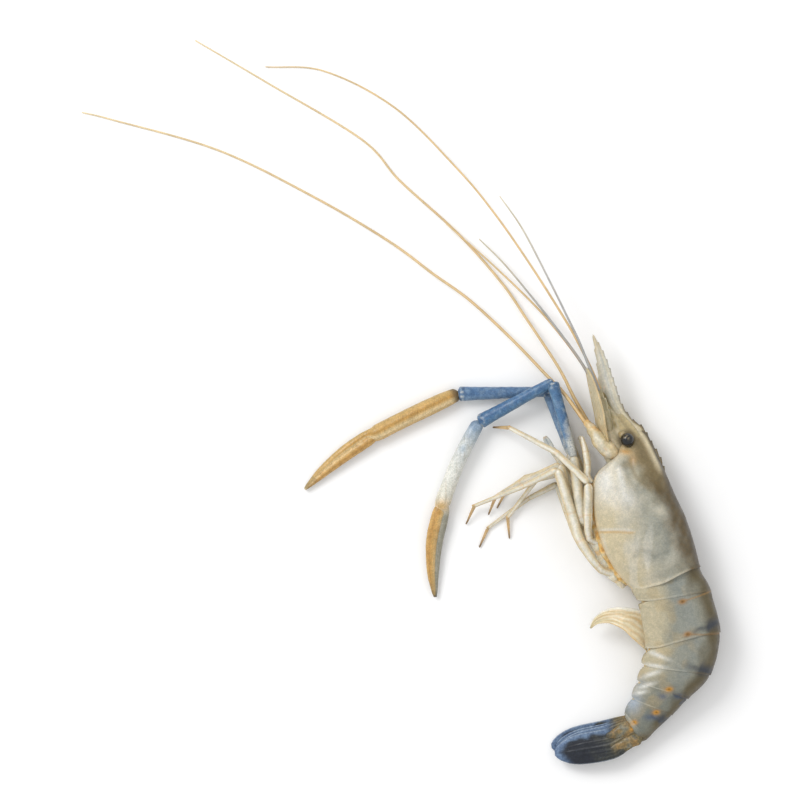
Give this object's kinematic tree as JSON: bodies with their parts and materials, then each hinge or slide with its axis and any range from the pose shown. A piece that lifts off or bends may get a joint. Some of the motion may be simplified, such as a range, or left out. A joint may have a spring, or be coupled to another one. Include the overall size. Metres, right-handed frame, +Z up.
{
  "type": "prawn",
  "caption": "Whole raw river prawn lying on its side, with a curled tail, a folded tail fan, long blue and gold pincers and trailing feelers.",
  "frame": {"origin": "on the surface it lies on, under the middle of the head shell, in the small flat that the shell rests on", "axes": "+Z up, which is the animal's left flank; +Y towards the head; +X towards the animal's back"},
  "size_m": [0.2314, 0.2625, 0.0226],
  "materials": {
    "shell": "moist, slightly translucent shell",
    "membrane": "moist membrane",
    "pale_limb": "moist, translucent",
    "blue_arm": "satin",
    "golden_claw": "satin",
    "feeler": "satin",
    "tail_fan": "satin",
    "eye": "glossy"
  },
  "bodies": {
    "root": {"antenna_left": "feeler", "antenna_right": "feeler", "antenna_scale_left": "pale_limb", "antenna_scale_right": "pale_limb", "antennule_left": "feeler", "antennule_right": "feeler", "big_claw_left_carpus": "blue_arm", "big_claw_left_finger": "golden_claw", "big_claw_left_hip": "pale_limb", "big_claw_left_merus": "blue_arm", "big_claw_left_palm": "golden_claw", "big_claw_right_carpus": "blue_arm", "big_claw_right_finger": "golden_claw", "big_claw_right_hip": "pale_limb", "big_claw_right_merus": "blue_arm", "big_claw_right_palm": "golden_claw", "breast_plate": "membrane", "carapace": "shell", "eye_left": "eye", "eye_right": "eye", "fan_blade_left_inner": "tail_fan", "fan_blade_left_outer": "tail_fan", "fan_blade_right_inner": "tail_fan", "fan_blade_right_outer": "tail_fan", "jaw_foot_left": "pale_limb", "jaw_foot_right": "pale_limb", "small_claw_left": "pale_limb", "small_claw_right": "pale_limb", "swimmeret_1_left": "pale_limb", "swimmeret_1_right": "pale_limb", "swimmeret_2_left": "pale_limb", "swimmeret_2_right": "pale_limb", "swimmeret_3_left": "pale_limb", "swimmeret_3_right": "pale_limb", "swimmeret_4_left": "pale_limb", "swimmeret_4_right": "pale_limb", "swimmeret_5_left": "pale_limb", "swimmeret_5_right": "pale_limb", "tail_segment_1": "shell", "tail_segment_2": "shell", "tail_segment_3": "shell", "tail_segment_4": "shell", "tail_segment_5": "shell", "tail_segment_6": "shell", "telson": "tail_fan", "walking_leg_3_left_lower": "pale_limb", "walking_leg_3_left_upper": "pale_limb", "walking_leg_3_right_lower": "pale_limb", "walking_leg_3_right_upper": "pale_limb", "walking_leg_4_left_lower": "pale_limb", "walking_leg_4_left_upper": "pale_limb", "walking_leg_4_right_lower": "pale_limb", "walking_leg_4_right_upper": "pale_limb", "walking_leg_5_left_lower": "pale_limb", "walking_leg_5_left_upper": "pale_limb", "walking_leg_5_right_lower": "pale_limb", "walking_leg_5_right_upper": "pale_limb"}
  },
  "joints": []
}
